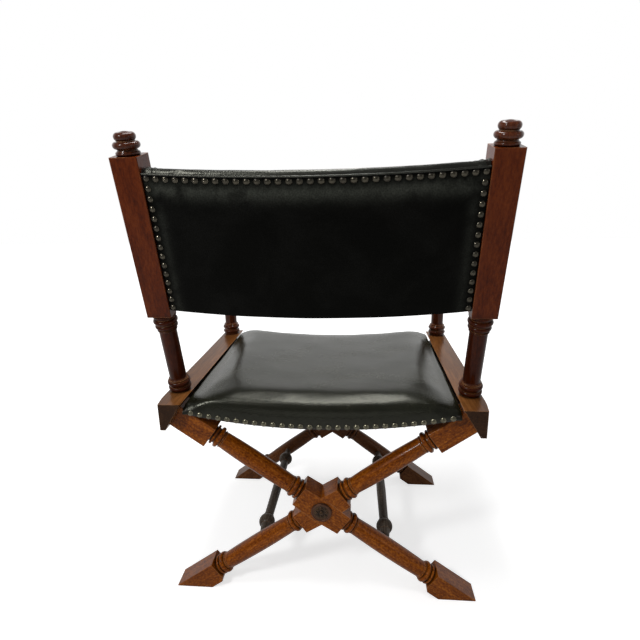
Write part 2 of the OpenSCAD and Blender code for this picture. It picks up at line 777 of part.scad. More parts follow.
// The board of the back, or the leather on it, between two radii of the panel's arc
module back_plate(r_in, r_out, low, high, half) {
    from = low - panel_dip - 5;
    tall = high + 5 - from;
    difference() {
        intersection() {
            translate([0, back_axis_y, from]) difference() {
                cylinder(r = r_out, h = tall, $fn = 720);
                translate([0, 0, -1]) cylinder(r = r_in, h = tall + 2, $fn = 720);
            }
            translate([-half, -far / 8, from - 2]) cube([2 * half, far / 4, tall + 4]);
            above_dip(low);
        }
        above_dip(high);
    }
}

// All that lies above the dipping line that meets the posts at height h
dip_flats = 12;
module above_dip(h) {
    edge = panel_half + 10;
    line = [for (i = [-dip_flats : dip_flats]) let (x = i * edge / dip_flats) [x, h - dip_at(x)]];
    translate([0, far / 8, 0]) rotate([90, 0, 0]) linear_extrude(far / 4)
        polygon(concat(line, [[edge, far / 2], [-edge, far / 2]]));
}

module back_board() {
    color("#a9834f")
    difference() {
        back_frame() difference() {
            back_plate(back_arc_r - back_board_t, back_arc_r,
                panel_from + leather_t + soft_gap, board_top - 3, panel_half - leather_t - soft_gap);
            top_nail_row(false);
            both_sides() side_nail_row(false);
        }
        both_sides() back_dowel_set(dowel_gap);
    }
}

module back_outer_cover() {
    color("#15171a")
    back_frame() difference() {
        back_plate(back_arc_r, outer_face, panel_from, board_top - welt_r, panel_half);
        top_nail_row(false);
        both_sides() side_nail_row(false);
    }
}

// Dowels between the post blocks and the ends of the board
module back_dowel_set(gap) {
    x = panel_half - back_dowel_len / 2;
    back_frame() for (h = [side_nail_h(floor(side_nails / 4) + 0.5), side_nail_h(floor(side_nails * 3 / 4) + 0.5)])
        translate([x - gap * 10, board_behind - back_board_t / 2, h]) rotate([0, 90, 0])
            cylinder(r = back_dowel_r + gap, h = back_dowel_len + gap * 20);
}

// The padded panel's outline at x, as a ring in the raked frame; inset draws it in,
// rear is where its flat rear side lies before the bow, and top_cut lowers its top
pad_side = 60;
pad_roll = 14;
pad_steps = 4;
pad_flats = 7;
function pad_ring(x, inset, rear, top_cut) =
    let (side = pow(abs(x) / panel_half, 4),
         bow = bow_y(x) - board_behind,
         t = pad_t + (pad_edge_t - pad_t) * side,
         top = panel_from + panel_len - dip_at(x) - inset - top_cut,
         low = panel_from - dip_at(x) + inset,
         back = rear + bow,
         front = board_behind - t + bow + inset,
         r = min(pad_roll, (t - back_board_t) * 0.8) - inset)
    concat([[x, back, low]],
           [for (i = [0 : pad_steps]) let (a = i * 90 / pad_steps)
               [x, front + r - r * sin(a), low + r - r * cos(a)]],
           [for (i = [1 : pad_flats - 1])
               [x, front - 4 * sin(180 * i / pad_flats), low + r + i * (top - low - 2 * r) / pad_flats]],
           [for (i = [0 : pad_steps]) let (a = i * 90 / pad_steps)
               [x, front + r - r * cos(a), top - r + r * sin(a)]],
           [for (i = [0 : 2]) let (a = i * 45, q = min(5, (back - front) * 0.2))
               [x, back - q + q * sin(a), top - q + q * cos(a)]]);

module pad(inset, rear, top_cut) {
    skin([for (x = spread(panel_half, pad_side, inset, pad_parts)) pad_ring(-x, inset, rear, top_cut)]);
}

module back_foam() {
    color("#d8c78a")
    back_frame() pad(leather_t + soft_gap, board_behind - back_board_t - soft_gap, 0);
}

module back_front_cover() {
    color("#15171a")
    difference() {
        back_frame() difference() {
            pad(0, board_behind, 0);
            pad(leather_t, board_behind - leather_t, 0);
            pad(leather_t, board_behind + 10, top_roll + 1);
        }
        both_sides() back_dowel_set(dowel_gap);
    }
}

// Piping along the seam above the top row of nails
welt_sides = 8;
function welt_ring(x) =
    let (turn = asin(x / outer_face), reach = outer_face + welt_r - leather_t / 2)
    [for (i = [0 : welt_sides - 1]) let (a = -i * 360 / welt_sides, q = reach + welt_r * cos(a))
        [q * sin(turn), back_axis_y + q * cos(turn), board_top - dip_at(x) + welt_r * sin(a)]];

module back_welt() {
    half = panel_half - 0.5;
    color("#15171a") back_frame() skin([for (i = [0 : 32]) welt_ring(half * (i / 16 - 1))]);
}

// Puts a nail on the outer leather at x, at height h along the posts
module on_back(x, h) {
    turn = asin(x / outer_face);
    translate([0, back_axis_y, h]) rotate([0, 0, -turn]) translate([0, outer_face, 0])
        rotate([-90, 0, 0]) children();
}

nail_side_x = panel_half - nail_r - 0.2;
nail_top_h = board_top - welt_r - nail_edge;

module top_nail_row(head) {
    for (i = [0 : top_nails - 1]) {
        x = -nail_side_x + i * 2 * nail_side_x / (top_nails - 1);
        on_back(x, nail_top_h - dip_at(x)) nail(head);
    }
}

nail_low_h = panel_from + nail_edge + 0.25;
function side_nail_h(i) = nail_low_h + i * (nail_top_h - nail_low_h) / side_nails;

module side_nail_row(head) {
    for (i = [0 : side_nails - 1])
        on_back(nail_side_x, side_nail_h(i)) nail(head);
}

module seat_rail_left() seat_rail();
module seat_rail_right() mirror([1, 0, 0]) seat_rail();
module rear_leg_outer() color("#8a4a1c") leg(1, rear_lean, rear_y, 1, true);
module rear_leg_inner() color("#8a4a1c") leg(-1, rear_lean, rear_y, 1, false);
module front_leg_outer() color("#8a4a1c") leg(1, front_lean, front_y, -1, true);
module front_leg_inner() color("#8a4a1c") leg(-1, front_lean, front_y, -1, false);
module rear_lap_screw() lap_screw(rear_lean, rear_y, 1);
module front_lap_screw() lap_screw(front_lean, front_y, -1);
module rear_medallion() medallion(rear_lean, rear_y, 1);
module front_medallion() medallion(front_lean, front_y, -1);
module leg_dowels() color("#c9a46a") both_sides() {
    frame_dowels(1, rear_lean, rear_y, leg_dowel_r, leg_dowel_len);
    frame_dowels(1, front_lean, front_y, leg_dowel_r, leg_dowel_len);
}
module stretcher_left() stretcher(1);
module stretcher_right() stretcher(-1);
module back_post_left() back_post();
module back_post_right() mirror([1, 0, 0]) back_post();
module finial_left() finial();
module finial_right() mirror([1, 0, 0]) finial();
module finial_dowels() color("#c9a46a") both_sides()
    at_back_post() translate([0, 0, block_from + block_len - finial_dowel_len / 2])
        cylinder(r = finial_dowel_r, h = finial_dowel_len);
module arm_post_left() arm_post();
module arm_post_right() mirror([1, 0, 0]) arm_post();
module arm_left() arm();
module arm_right() mirror([1, 0, 0]) arm();
module arm_dowels() color("#c9a46a") both_sides() rear_arm_dowel(0);
module seat_cleat_left() seat_cleat();
module seat_cleat_right() mirror([1, 0, 0]) seat_cleat();
module cleat_screws() color("silver") both_sides() cleat_screw_set(0);
module seat_screws() color("silver") both_sides() seat_screw_set(0);
module seat_nails_rear() color("#6b5a3a") seat_nail_row(1, 0, true);
module seat_nails_front() color("#6b5a3a") seat_nail_row(-1, 0, true);
module back_dowels() color("#c9a46a") both_sides() back_dowel_set(0);
module back_nails_top() color("#6b5a3a") back_frame() top_nail_row(true);
module back_nails_left() color("#6b5a3a") back_frame() side_nail_row(true);
module back_nails_right() color("#6b5a3a") back_frame() mirror([1, 0, 0]) side_nail_row(true);

seat_rail_left();
seat_rail_right();
rear_leg_outer();
rear_leg_inner();
front_leg_outer();
front_leg_inner();
rear_lap_screw();
front_lap_screw();
rear_medallion();
front_medallion();
leg_dowels();
stretcher_left();
stretcher_right();
back_post_left();
back_post_right();
finial_left();
finial_right();
finial_dowels();
arm_post_left();
arm_post_right();
arm_left();
arm_right();
arm_dowels();
seat_board();
seat_cleat_left();
seat_cleat_right();
cleat_screws();
seat_screws();
seat_foam();
seat_cover();
seat_nails_rear();
seat_nails_front();
back_board();
back_dowels();
back_foam();
back_front_cover();
back_outer_cover();
back_welt();
back_nails_top();
back_nails_left();
back_nails_right();
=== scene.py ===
import math

import bmesh
import bpy
from mathutils import Matrix, Vector, kdtree, noise


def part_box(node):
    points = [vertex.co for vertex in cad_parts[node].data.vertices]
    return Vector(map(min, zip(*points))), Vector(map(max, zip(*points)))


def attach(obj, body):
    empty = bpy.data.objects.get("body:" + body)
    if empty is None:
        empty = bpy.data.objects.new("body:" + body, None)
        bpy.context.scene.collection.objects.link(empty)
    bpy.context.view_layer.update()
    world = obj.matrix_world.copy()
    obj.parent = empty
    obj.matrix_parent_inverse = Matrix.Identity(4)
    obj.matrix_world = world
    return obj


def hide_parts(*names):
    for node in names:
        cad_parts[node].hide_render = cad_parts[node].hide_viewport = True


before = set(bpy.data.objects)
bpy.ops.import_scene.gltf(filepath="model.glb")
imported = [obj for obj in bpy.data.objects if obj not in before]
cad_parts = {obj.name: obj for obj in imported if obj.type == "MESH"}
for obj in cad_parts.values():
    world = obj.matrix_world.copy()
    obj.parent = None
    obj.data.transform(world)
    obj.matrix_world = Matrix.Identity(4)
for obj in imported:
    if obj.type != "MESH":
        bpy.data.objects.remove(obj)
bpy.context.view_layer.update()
bpy.ops.object.select_all(action="DESELECT")

# Sizes of the chair, in metres
RAIL_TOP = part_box("seat_rail_left")[1].z
RAIL_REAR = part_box("seat_rail_left")[1].y

SEAT_LOW, SEAT_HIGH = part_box("seat_cover")
SEAT_HALF = SEAT_HIGH.x
SEAT_DIP = 0.025
SEAT_ARC = (SEAT_HALF ** 2 + SEAT_DIP ** 2) / (2 * SEAT_DIP)
LEATHER_T = 0.0015
NAIL_EDGE = 0.00525
NAIL_INSET = 0.013
SEAT_NAILS = 29

RAKE = math.radians(13.5)
POST_Y = RAIL_REAR - 0.072
PANEL_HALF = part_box("back_outer_cover")[1].x
PANEL_FROM = 0.181
PANEL_DIP = 0.005
BOW = 0.018
BOARD_BEHIND = 0.017
SEAM_H = 0.408
BOW_R = (PANEL_HALF ** 2 + BOW ** 2) / (2 * BOW)
BOW_AXIS = BOARD_BEHIND + BOW - BOW_R
DIP_R = (PANEL_HALF ** 2 + PANEL_DIP ** 2) / (2 * PANEL_DIP)
OUTER_R = BOW_R + LEATHER_T
WELT_R = 0.0015
TOP_NAILS = 33
SIDE_NAILS = 14
NAIL_R = 0.005


def clamp(value):
    return max(0.0, min(1.0, value))


def seat_arc(x):
    """Height of the seat board's underside at x."""
    return SEAT_LOW.z + SEAT_ARC - math.sqrt(SEAT_ARC ** 2 - min(abs(x), SEAT_HALF) ** 2)


def raked(x, y, h):
    """A place in the leaning frame of the back: y to the rear, h along the posts."""
    return Vector((x, POST_Y + y * math.cos(RAKE) + h * math.sin(RAKE),
                   RAIL_TOP - y * math.sin(RAKE) + h * math.cos(RAKE)))


def unraked(place):
    """The same, the other way round."""
    dy, dz = place[1] - POST_Y, place[2] - RAIL_TOP
    return Vector((place[0], dy * math.cos(RAKE) - dz * math.sin(RAKE),
                   dy * math.sin(RAKE) + dz * math.cos(RAKE)))


def dip_at(x):
    """How far the upper and lower edges of the back sink at x."""
    return PANEL_DIP - DIP_R + math.sqrt(DIP_R ** 2 - x * x)


def bow_at(x, radius):
    """How far to the rear a bow of that radius lies at x."""
    return BOW_AXIS + math.sqrt(radius ** 2 - x * x)


def seat_nail_places(y):
    """The row of nails along the edge of the seat that lies at y."""
    half = SEAT_HALF - NAIL_INSET
    for i in range(SEAT_NAILS):
        x = -half + i * 2 * half / (SEAT_NAILS - 1)
        yield Vector((x, y, seat_arc(x) + NAIL_EDGE))


def back_nail_places():
    """The row along the top of the back, then those down its two sides."""
    side = PANEL_HALF - NAIL_R - 0.0002
    top = SEAM_H - WELT_R - NAIL_EDGE
    low = PANEL_FROM + NAIL_EDGE + 0.00025
    for i in range(TOP_NAILS):
        x = -side + i * 2 * side / (TOP_NAILS - 1)
        yield raked(x, bow_at(x, OUTER_R), top - dip_at(x))
    for s in (-1, 1):
        for i in range(SIDE_NAILS):
            yield raked(s * side, bow_at(side, OUTER_R), low + i * (top - low) / SIDE_NAILS)


# Finishes
# Edge colour, part wear and part painted highlight.
EDGE_WEAR_GLINT = (0.42, 0.19, 0.075)
# Paler leather colour for a painted sheen below the nails.
SHEEN_HIDE = (0.034, 0.036, 0.030)
MEDALLION_RIM = (0.085, 0.040, 0.024)


class Value:
    """A value in a finish; sums and products of values become Math nodes."""

    def __init__(self, finish, socket):
        self.finish = finish
        self.socket = socket

    def math(self, operation, *others):
        return self.finish.add("ShaderNodeMath", {"operation": operation}, dict(enumerate((self,) + others)))

    def __add__(self, other):
        return self.math("ADD", other)

    def __mul__(self, other):
        return self.math("MULTIPLY", other)

    def __sub__(self, other):
        return self.math("SUBTRACT", other)

    def __rsub__(self, other):
        return self.finish.add("ShaderNodeMath", {"operation": "SUBTRACT"}, {0: other, 1: self})

    __radd__ = __add__

    def band(self, low, high):
        """0 below low, 1 above high, smooth between."""
        return self.finish.add("ShaderNodeMapRange", {"interpolation_type": "SMOOTHSTEP"},
                               {"Value": self, "From Min": low, "From Max": high})


class Finish:
    """One material, or the world, built node by node."""

    def __init__(self, owner):
        self.material = owner
        owner.use_nodes = True
        self.tree = owner.node_tree
        self.tree.nodes.clear()

    def add(self, kind, settings=None, values=None, out=0):
        node = self.tree.nodes.new(kind)
        for key, value in (settings or {}).items():
            if key == "stops":
                ramp = node.color_ramp
                while len(ramp.elements) < len(value):
                    ramp.elements.new(0.5)
                for element, (place, colour) in zip(ramp.elements, value):
                    element.position = place
                    element.color = tuple(colour) + (1,)
            else:
                setattr(node, key, value)
        for key, value in (values or {}).items():
            socket = node.inputs[key]
            if isinstance(value, Value):
                self.tree.links.new(value.socket, socket)
            elif socket.type == "RGBA":
                socket.default_value = tuple(value)[:3] + (1,)
            else:
                socket.default_value = value
        return Value(self, node.outputs[out]) if node.outputs else None

    def places(self):
        return self.add("ShaderNodeTexCoord", out="Object")

    def turned(self, vector, turn=(0, 0, 0), stretch=(1, 1, 1)):
        """Coordinates turned first and stretched after."""
        aside = self.add("ShaderNodeMapping", {}, {"Vector": vector, "Rotation": turn})
        return self.add("ShaderNodeMapping", {}, {"Vector": aside, "Scale": stretch})

    def noise(self, vector, scale, detail=3.0, rough=0.55, bend=0.0):
        return self.add("ShaderNodeTexNoise", {}, {
            "Vector": vector, "Scale": scale, "Detail": detail, "Roughness": rough, "Distortion": bend})

    def mix(self, factor, a, b):
        return self.add("ShaderNodeMix", {"data_type": "RGBA"}, {0: factor, 6: a, 7: b}, out=2)

    def shade(self, colour, factor):
        """A colour made darker or lighter by a value."""
        return self.add("ShaderNodeVectorMath", {"operation": "SCALE"}, {0: colour, "Scale": factor})

    def bump(self, height, depth, strength=1.0, under=None):
        values = {"Height": height, "Distance": depth, "Strength": strength}
        if under:
            values["Normal"] = under
        return self.add("ShaderNodeBump", {}, values)

    def kept(self, name):
        """A number that the mesh keeps on its points."""
        return self.add("ShaderNodeAttribute",
                        {"attribute_type": "GEOMETRY", "attribute_name": name}, out="Fac")

    def part(self, vector, axis):
        """A vector's X, Y or Z alone."""
        return self.add("ShaderNodeSeparateXYZ", {}, {"Vector": vector}, out=axis)

    def hollows(self, reach):
        """1 on open faces, towards 0 in grooves and corners."""
        return self.add("ShaderNodeAmbientOcclusion", {"samples": 6}, {"Distance": reach}, out="AO")

    def edges(self, radius):
        """1 along outer edges, 0 on faces."""
        soft = self.add("ShaderNodeBevel", {"samples": 4}, {"Radius": radius})
        true = self.add("ShaderNodeNewGeometry", out="Normal")
        same = self.add("ShaderNodeVectorMath", {"operation": "DOT_PRODUCT"}, {0: soft, 1: true}, out="Value")
        return (1 - same).band(0.012, 0.13)

    def close(self, **values):
        """Puts the values on a Principled shader and ends the material."""
        named = {key.replace("_", " "): value for key, value in values.items()}
        shader = self.add("ShaderNodeBsdfPrincipled", {}, named)
        self.add("ShaderNodeOutputMaterial", {}, {"Surface": shader})
        return self.material


def polished_wood(name, tones, turn=(0, 0, 0), edge_wear_glint=0.5, mottle=0.5, streak=0.55, rough=0.30,
                  coat=0.4, coat_ior=1.22, shaded_below=None, dark_ends_worn_lit_tops=False):
    """Lacquered wood. Its tones run from dark streaks to light ones, and turn lays the grain.
    Grooves get painted shade, and edges pale marks, part wear and part painted highlight. Below a given
    height the colour is darker, painted shade for the spindles under the seat; with dark ends, end grain is
    darker, and tops are paler, part wear and part painted light from above."""
    f = Finish(bpy.data.materials.new(name))
    dark, middle, light = tones
    places = f.places()
    broad = f.noise(f.turned(places, turn, (5, 34, 34)), 1.0, 4, 0.55, 0.8)
    fine = f.noise(f.turned(places, turn, (14, 330, 330)), 1.0, 3, 0.6)
    pores = f.noise(f.turned(places, turn, (55, 1500, 1500)), 1.0, 2, 0.5)
    blotch = f.noise(f.turned(places, turn, (210, 300, 300)), 1.0, 3, 0.65)
    figure = (broad - 0.5) * streak + (fine - 0.5) * streak + (blotch - 0.5) * mottle + 0.5
    colour = f.add("ShaderNodeValToRGB", {"stops": [
        (0.26, dark), (0.50, middle), (0.76, light)]}, {"Fac": figure})
    colour = f.shade(colour, 1 - pores.band(0.60, 0.72) * 0.35)
    # Painted shade: the colour darkens in grooves and corners.
    groove_shade = f.hollows(0.007)
    colour = f.shade(colour, groove_shade.band(0.25, 0.85) * 0.78 + 0.22)
    # Painted shade: below the given height the colour is darker, where the seat shades the spindles.
    if shaded_below:
        height = f.part(places, "Z")
        colour = f.shade(colour, height.band(shaded_below - 0.01, shaded_below + 0.01) * 0.5 + 0.5)
    # End grain is darker; tops are paler, part wear and part painted light from above.
    if dark_ends_worn_lit_tops:
        facing = f.add("ShaderNodeNewGeometry", out="Normal")
        along = f.part(facing, "Y")
        level = f.part(facing, "Z")
        colour = f.shade(colour, 1 + level.band(0.7, 0.95) * 0.55 - (along * along).band(0.6, 0.9) * 0.68)
    # Pale edges, part wear and part painted highlight.
    wear_and_glint = f.edges(0.0020) * f.noise(places, 38.0, 3, 0.6).band(0.30, 0.56) * edge_wear_glint
    colour = f.mix(wear_and_glint, colour, EDGE_WEAR_GLINT)
    roughness = blotch * 0.16 + wear_and_glint * 0.15 + (rough - 0.07)
    normal = f.bump(fine * 0.5 + pores * 0.5, 0.00016, 0.35)
    return f.close(Base_Color=colour, Roughness=roughness, Normal=normal, Specular_IOR_Level=0.06,
                   Coat_Weight=coat, Coat_Roughness=0.12, Coat_IOR=coat_ior)


def plain_wood(name, tones, turn=(0, 0, 0), plies=False, rough=0.6):
    """Bare wood, or the edge and face of plywood."""
    f = Finish(bpy.data.materials.new(name))
    dark, middle, light = tones
    places = f.places()
    broad = f.noise(f.turned(places, turn, (6, 60, 60)), 1.0, 4, 0.6, 0.6)
    fine = f.noise(f.turned(places, turn, (22, 420, 420)), 1.0, 3, 0.6)
    colour = f.add("ShaderNodeValToRGB", {"stops": [
        (0.35, dark), (0.52, middle), (0.70, light)]}, {"Fac": broad * 0.6 + fine * 0.4})
    if plies:
        layers = f.add("ShaderNodeTexWave", {"wave_type": "BANDS", "bands_direction": "Z"},
                       {"Vector": places, "Scale": 110.0, "Distortion": 1.5, "Detail": 1.0}, out="Fac")
        colour = f.shade(colour, layers.band(0.3, 0.7) * 0.25 + 0.75)
    # Painted shade: the colour darkens in hollows.
    colour = f.shade(colour, f.hollows(0.012) * 0.6 + 0.4)
    normal = f.bump(fine, 0.0002, 0.5)
    return f.close(Base_Color=colour, Roughness=fine * 0.2 + (rough - 0.1), Normal=normal)


def hide(name, tone, cloud_tone, rough, specular, bloom=0.0):
    """Black leather with a pebbled grain, painted shade in its hollows and in the puckers where a nail pulls
    it in, a paler painted sheen below the top nails, and with bloom a thin yellowish film."""
    grain = 430.0
    f = Finish(bpy.data.materials.new(name))
    places = f.places()
    cells = f.add("ShaderNodeTexVoronoi", {"feature": "SMOOTH_F1"},
                  {"Vector": places, "Scale": grain, "Smoothness": 0.5, "Randomness": 1.0}, out="Distance")
    crumb = f.noise(places, grain * 1.9, 3, 0.6)
    cloud = f.noise(places, 13.0, 4, 0.6, 0.4)
    stretch = f.noise(f.turned(places, (0, 0, 0.4), (9, 30, 24)), 1.0, 3, 0.5, 1.2)
    pucker_shade = f.kept("near_nail")
    colour = f.mix(cloud.band(0.40, 0.68), tone, cloud_tone)
    # Painted sheen: paler leather below the top nails and beside the side nails.
    worn = f.kept("worn")
    haze = f.noise(places, 34.0, 3, 0.6, 0.5)
    colour = f.mix(worn * haze.band(0.12, 0.62), colour, SHEEN_HIDE)
    colour = f.shade(colour, cells * 0.9 + 0.55)
    # Painted shade round the nails, where the leather puckers.
    colour = f.shade(colour, 1 - pucker_shade * 0.75)
    # Painted shade: the colour darkens in hollows.
    colour = f.shade(colour, f.hollows(0.010) * 0.7 + 0.3)
    roughness = cloud * 0.18 + crumb * 0.10 + pucker_shade * 0.1 + (rough - 0.14)
    rows = f.bump(stretch, 0.0012, 0.25)
    normal = f.bump(cells * 0.8 + crumb * 0.4, 0.00045, 0.6, rows)
    return f.close(Base_Color=colour, Roughness=roughness, Normal=normal, Specular_IOR_Level=specular,
                   Specular_Tint=(1.0, 1.0, 0.84), Sheen_Weight=bloom, Sheen_Roughness=0.35,
                   Sheen_Tint=(1.0, 1.0, 0.45))


def middle_of(node):
    """The middle of a CAD node's box."""
    low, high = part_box(node)
    return (low + high) / 2


def old_metal(name, bright, dull, rough=0.34, spot=70.0, rim=None):
    """Metal with a brown tarnish that is thicker in the hollows, painted shade in the hollows and painted
    highlights along its edges; rim is the middle and the inner radius of a browner ring round a medallion."""
    f = Finish(bpy.data.materials.new(name))
    places = f.places()
    tarnish = f.noise(places, spot, 4, 0.65)
    speck = f.noise(places, 900.0, 3, 0.6)
    open_face = f.hollows(0.004)
    cover = (tarnish * 0.7 + speck * 0.3 + (1 - open_face) * 0.8).band(0.38, 0.85)
    colour = f.mix(cover, bright, dull)
    # Painted shade in the hollows.
    colour = f.shade(colour, open_face.band(0.40, 0.98) * 0.85 + 0.15)
    # Painted highlights along the edges.
    colour = f.shade(colour, 1 + f.edges(0.0009) * 2.2)
    if rim:
        middle, radius = rim
        away = f.add("ShaderNodeVectorMath", {"operation": "DISTANCE"}, {0: places, 1: middle}, out="Value")
        ring = away.band(radius - 0.0008, radius + 0.0008)
        colour = f.mix(ring, f.shade(colour, 0.62), MEDALLION_RIM)
    normal = f.bump(speck, 0.00012, 0.35)
    return f.close(Base_Color=colour, Metallic=1 - cover * 0.45, Roughness=cover * 0.28 + (rough - 0.04),
                   Normal=normal)


SLOPE_REAR = math.radians(36)
SLOPE_FRONT = math.radians(37.1)
HONEY = ((0.055, 0.0105, 0.0006), (0.200, 0.047, 0.0018), (0.40, 0.120, 0.0085))
HONEY_FAR = ((0.035, 0.0105, 0.0032), (0.105, 0.034, 0.0085), (0.20, 0.078, 0.024))
RED_BROWN = ((0.029, 0.0036, 0.0005), (0.086, 0.0135, 0.0014), (0.150, 0.031, 0.0050))
TURNED = ((0.020, 0.0040, 0.0010), (0.058, 0.0120, 0.0028), (0.120, 0.032, 0.010))
CHOCOLATE = ((0.034, 0.0110, 0.0025), (0.088, 0.0320, 0.0080), (0.160, 0.066, 0.0200))
SMOKED = ((0.022, 0.015, 0.010), (0.060, 0.043, 0.031), (0.125, 0.100, 0.078))
BEECH = ((0.35, 0.20, 0.09), (0.52, 0.33, 0.17), (0.66, 0.46, 0.27))
# Near-black plywood and cleat tones: painted shade where they show under the seat and between it and the
# rails.
SHADE_DARK_PLY = ((0.010, 0.0065, 0.0045), (0.022, 0.014, 0.0095), (0.040, 0.026, 0.018))
SHADE_DARK_CLEAT_WOOD = ((0.020, 0.009, 0.005), (0.045, 0.020, 0.011), (0.08, 0.038, 0.02))
SEAT_BRASS = ((0.150, 0.140, 0.098), (0.030, 0.026, 0.018))
BACK_BRASS = ((0.070, 0.063, 0.047), (0.008, 0.0066, 0.0048))
BRONZE = ((0.120, 0.070, 0.040), (0.006, 0.0036, 0.0024))
STEEL = ((0.55, 0.54, 0.52), (0.20, 0.18, 0.16))
RIM_FROM = 0.0145
UPRIGHT = (0, math.radians(90), 0)
LENGTHWISE = (0, 0, math.radians(90))
finishes = {
    # Posts: painted shade on the spindles below the given height.
    "post": polished_wood("red_brown_wood_back_posts", RED_BROWN, UPRIGHT, mottle=0.22, edge_wear_glint=0.6,
                          shaded_below=raked(0, 0, 0.165).z),
    # Rails: darker end grain, and tops paler, part wear and part painted light from above.
    "rail": polished_wood("dark_brown_wood_rails", CHOCOLATE, LENGTHWISE, mottle=0.3, edge_wear_glint=0.6,
                          dark_ends_worn_lit_tops=True),
    "turned": polished_wood("dark_brown_wood_turnings", TURNED, UPRIGHT, mottle=0.3, edge_wear_glint=0.6,
                            coat=0.8, coat_ior=1.30),
    "stretcher": polished_wood("smoked_wood_stretchers", SMOKED, LENGTHWISE, mottle=0.6, rough=0.42,
                               coat=0.25),
    "dowel": plain_wood("beech_dowels", BEECH, UPRIGHT),
    "ply": plain_wood("shade_dark_plywood", SHADE_DARK_PLY, LENGTHWISE, plies=True),
    "cleat": plain_wood("shade_dark_cleats", SHADE_DARK_CLEAT_WOOD, LENGTHWISE, rough=0.55),
    "seat_hide": hide("black_seat_leather", (0.0050, 0.0053, 0.0030), (0.0100, 0.0105, 0.0060),
                      rough=0.25, specular=0.33, bloom=0.03),
    "pad_hide": hide("black_pad_leather", (0.0060, 0.0066, 0.0058), (0.0130, 0.0140, 0.0120),
                     rough=0.36, specular=0.40),
    # The back's outer leather gets much darker tones than the seat and pad leather: painted shade.
    "back_hide": hide("shaded_black_back_leather", (0.0012, 0.0012, 0.0012), (0.0032, 0.0032, 0.0030),
                      rough=0.38, specular=0.035),
    "seat_nail": old_metal("antique_brass_seat_nails", *SEAT_BRASS, rough=0.26),
    "back_nail": old_metal("antique_brass_back_nails", *BACK_BRASS, rough=0.22),
    "steel": old_metal("plain_steel_screws", *STEEL, rough=0.36),
}
for end in ("rear", "front"):
    finishes[f"medallion_{end}"] = old_metal(f"dark_bronze_{end}_medallion", *BRONZE, spot=60.0,
                                             rim=(middle_of(f"{end}_medallion"), RIM_FROM))
for lean, letter, turn in (("rising", "a", 1), ("falling", "b", -1)):
    finishes[f"rear_leg_{lean}"] = polished_wood(
        f"honey_wood_rear_leg_{letter}", HONEY, (0, turn * SLOPE_REAR, 0),
        mottle=0.85, streak=0.4, edge_wear_glint=0.7, coat=0.5)
    finishes[f"front_leg_{lean}"] = polished_wood(
        f"honey_wood_front_leg_{letter}", HONEY_FAR, (0, turn * SLOPE_FRONT, 0),
        mottle=0.65, streak=0.4)

node_finish = {
    "seat_rail_left": "rail", "seat_rail_right": "rail",
    "rear_leg_outer": "rear_leg_rising", "rear_leg_inner": "rear_leg_falling",
    "front_leg_outer": "front_leg_rising", "front_leg_inner": "front_leg_falling",
    "rear_lap_screw": "steel", "front_lap_screw": "steel", "cleat_screws": "steel", "seat_screws": "steel",
    "rear_medallion": "medallion_rear", "front_medallion": "medallion_front",
    "leg_dowels": "dowel", "finial_dowels": "dowel", "arm_dowels": "dowel", "back_dowels": "dowel",
    "stretcher_left": "stretcher", "stretcher_right": "stretcher",
    "back_post_left": "post", "back_post_right": "post", "finial_left": "turned", "finial_right": "turned",
    "arm_post_left": "turned", "arm_post_right": "turned", "arm_left": "rail", "arm_right": "rail",
    "seat_board": "ply", "back_board": "ply", "seat_cleat_left": "cleat", "seat_cleat_right": "cleat",
    "seat_nails_rear": "seat_nail", "seat_nails_front": "seat_nail",
    "back_nails_top": "back_nail", "back_nails_left": "back_nail", "back_nails_right": "back_nail",
}
for node, which in node_finish.items():
    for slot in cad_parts[node].material_slots:
        slot.material = finishes[which]


# Modelling helpers
PUFF_FRAMES = 20


def only(piece):
    """Makes one piece the only one selected, and the active one."""
    bpy.ops.object.select_all(action="DESELECT")
    piece.select_set(True)
    bpy.context.view_layer.objects.active = piece


def pick(piece, test):
    """In edit mode, selects the faces that pass the test and nothing else."""
    only(piece)
    bpy.ops.object.mode_set(mode="EDIT")
    bpy.ops.mesh.select_mode(type="FACE")
    bpy.ops.mesh.select_all(action="DESELECT")
    mesh = bmesh.from_edit_mesh(piece.data)
    for face in mesh.faces:
        if test(face.calc_center_median(), face.normal):
            face.select_set(True)
    bmesh.update_edit_mesh(piece.data)


def done():
    """Leaves edit mode."""
    bpy.ops.object.mode_set(mode="OBJECT")


def modify(piece, kind, **settings):
    """Adds a modifier and applies it."""
    only(piece)
    step = piece.modifiers.new(kind.lower(), kind)
    for key, value in settings.items():
        setattr(step, key, value)
    bpy.ops.object.modifier_apply(modifier=step.name)


def outer_form(name, nodes, voxel):
    """One closed form round copies of several CAD solids that lie against each other."""
    bpy.ops.object.select_all(action="DESELECT")
    copies = []
    for node in nodes:
        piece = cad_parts[node].copy()
        piece.data = piece.data.copy()
        piece.parent = None
        piece.matrix_world = Matrix.Identity(4)
        piece.hide_render = piece.hide_viewport = False
        bpy.context.collection.objects.link(piece)
        copies.append(piece)
    for piece in copies:
        piece.select_set(True)
    bpy.context.view_layer.objects.active = copies[0]
    bpy.ops.object.join()
    piece = bpy.context.object
    piece.name = piece.data.name = name
    bpy.ops.object.mode_set(mode="EDIT")
    bpy.ops.mesh.select_all(action="SELECT")
    bpy.ops.mesh.remove_doubles(threshold=0.00002)
    done()
    modify(piece, "REMESH", mode="VOXEL", voxel_size=voxel, adaptivity=0.0)
    return piece


def hold(piece, weight_at):
    """Writes how firmly each point is held, from 0 to 1, into the group that Cloth pins."""
    piece.vertex_groups.clear()
    group = piece.vertex_groups.new(name="held")
    for point in piece.data.vertices:
        group.add([point.index], weight_at(point.co, point.normal), "REPLACE")


